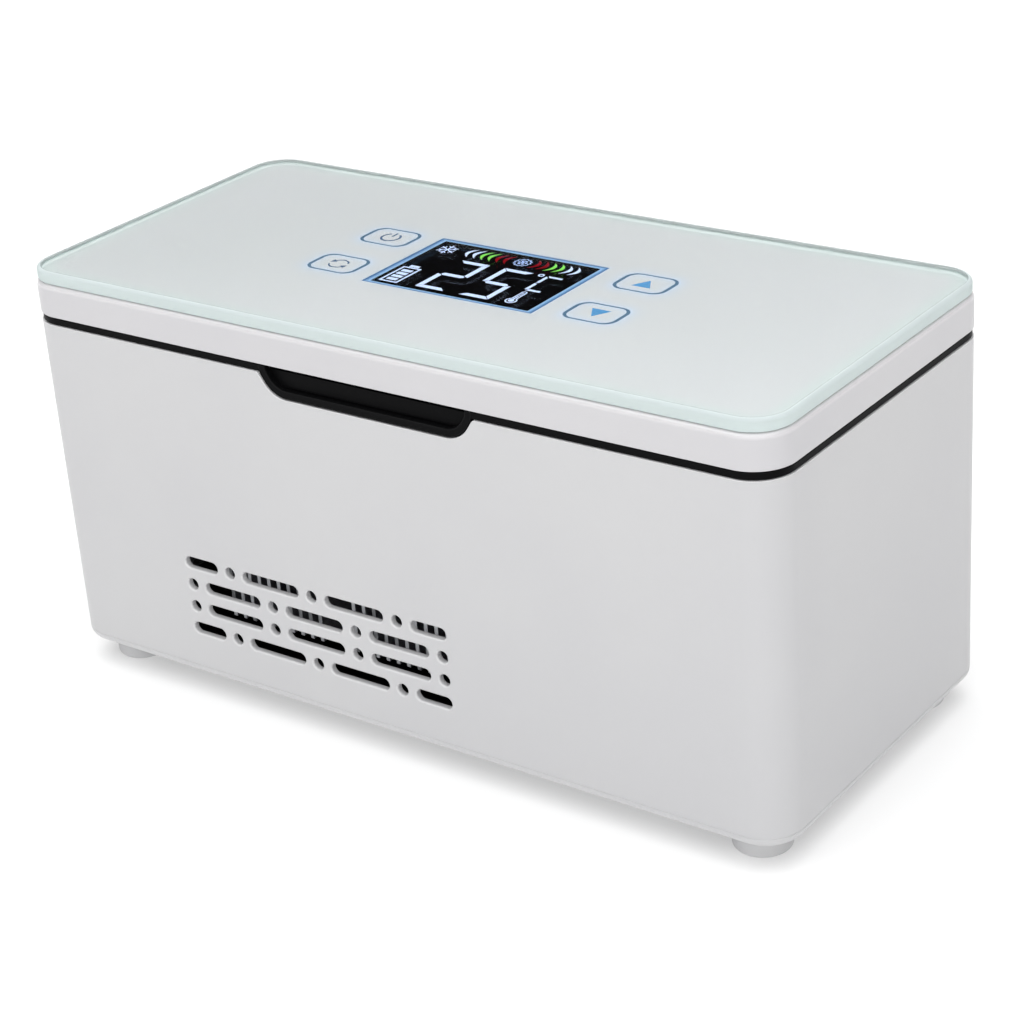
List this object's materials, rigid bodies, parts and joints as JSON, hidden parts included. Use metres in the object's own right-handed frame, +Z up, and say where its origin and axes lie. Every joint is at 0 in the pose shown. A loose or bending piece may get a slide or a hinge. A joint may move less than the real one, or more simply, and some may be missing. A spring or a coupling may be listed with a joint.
{
  "type": "insulin cooling case",
  "caption": "Rounded white cooling case for insulin pens, with a hinged glass touch lid, a cold chamber and fan-cooled heatsinks behind slotted vents.",
  "frame": {"origin": "on the floor plane under the middle of the case", "axes": "+X to the right of someone facing the front, +Y to the hinged back, +Z up"},
  "size_m": [0.245, 0.1144, 0.1251],
  "materials": {
    "case_plastic": "white moulded plastic with a fine satin grain",
    "lid_plastic": "smooth white moulded plastic",
    "panel_glass": "polished glass, printed white on its back",
    "dark_plastic": "black moulded plastic",
    "foot_rubber": "pale grey silicone",
    "seal_rubber": "black silicone",
    "aluminium": "plain extruded or pressed aluminium",
    "steel": "zinc-plated steel",
    "foam": "closed-cell foam",
    "ceramic": "white ceramic plates",
    "circuit_board": "green solder mask",
    "cell_sleeve": "blue shrink sleeve",
    "display_black": "black liquid-crystal display",
    "light_guide": "blue lit light guide"
  },
  "bodies": {
    "case": {"outer_case": "case_plastic", "bottom_cover": "case_plastic", "rim_frame": "dark_plastic", "catch_plate": "steel", "chamber_liner": "aluminium", "foam_jacket": "foam", "temperature_probe": "steel", "cooler_deck": "dark_plastic", "left_hinge_pin": "steel", "right_hinge_pin": "steel", "front_left_foot": "foot_rubber", "front_right_foot": "foot_rubber", "back_right_foot": "foot_rubber", "back_left_foot": "foot_rubber", "front_left_case_screw": "steel", "front_right_case_screw": "steel", "back_right_case_screw": "steel", "back_left_case_screw": "steel", "left_cold_block": "aluminium", "left_peltier_module": "ceramic", "left_heatsink": "aluminium", "left_fan_frame": "dark_plastic", "left_front_clamp_screw": "steel", "left_back_clamp_screw": "steel", "left_front_fan_screw": "steel", "left_back_fan_screw": "steel", "right_cold_block": "aluminium", "right_peltier_module": "ceramic", "right_heatsink": "aluminium", "right_fan_frame": "dark_plastic", "right_front_clamp_screw": "steel", "right_back_clamp_screw": "steel", "right_front_fan_screw": "steel", "right_back_fan_screw": "steel", "battery_holder": "dark_plastic", "battery_cell_1": "cell_sleeve", "battery_cell_2": "cell_sleeve", "battery_cell_3": "cell_sleeve", "battery_cell_4": "cell_sleeve", "main_board": "circuit_board", "power_socket": "dark_plastic"},
    "lid": {"lid_shell": "lid_plastic", "glass_panel": "panel_glass", "lid_liner": "dark_plastic", "lid_gasket": "seal_rubber", "lid_magnet": "steel", "lid_foam": "foam", "touch_board": "circuit_board", "display_module": "display_black", "display_light_frame": "light_guide", "power_key": "light_guide", "mode_key": "light_guide", "up_key": "light_guide", "down_key": "light_guide", "front_left_lid_screw": "steel", "front_right_lid_screw": "steel", "back_right_lid_screw": "steel", "back_left_lid_screw": "steel"},
    "left_rotor": {"left_fan_rotor": "dark_plastic"},
    "right_rotor": {"right_fan_rotor": "dark_plastic"}
  },
  "joints": [
    {"name": "lid_hinge", "type": "hinge", "parent": "case", "child": "lid", "pos_m": [0, 0.0554, 0.1106], "axis": [-1, 0, 0], "range_deg": [0, 100]},
    {"name": "left_fan_spin", "type": "hinge", "parent": "case", "child": "left_rotor", "pos_m": [-0.0465, 0, 0.0205], "axis": [0, 0, 1], "continuous": true},
    {"name": "right_fan_spin", "type": "hinge", "parent": "case", "child": "right_rotor", "pos_m": [-0.0013, 0, 0.0205], "axis": [0, 0, 1], "continuous": true}
  ]
}
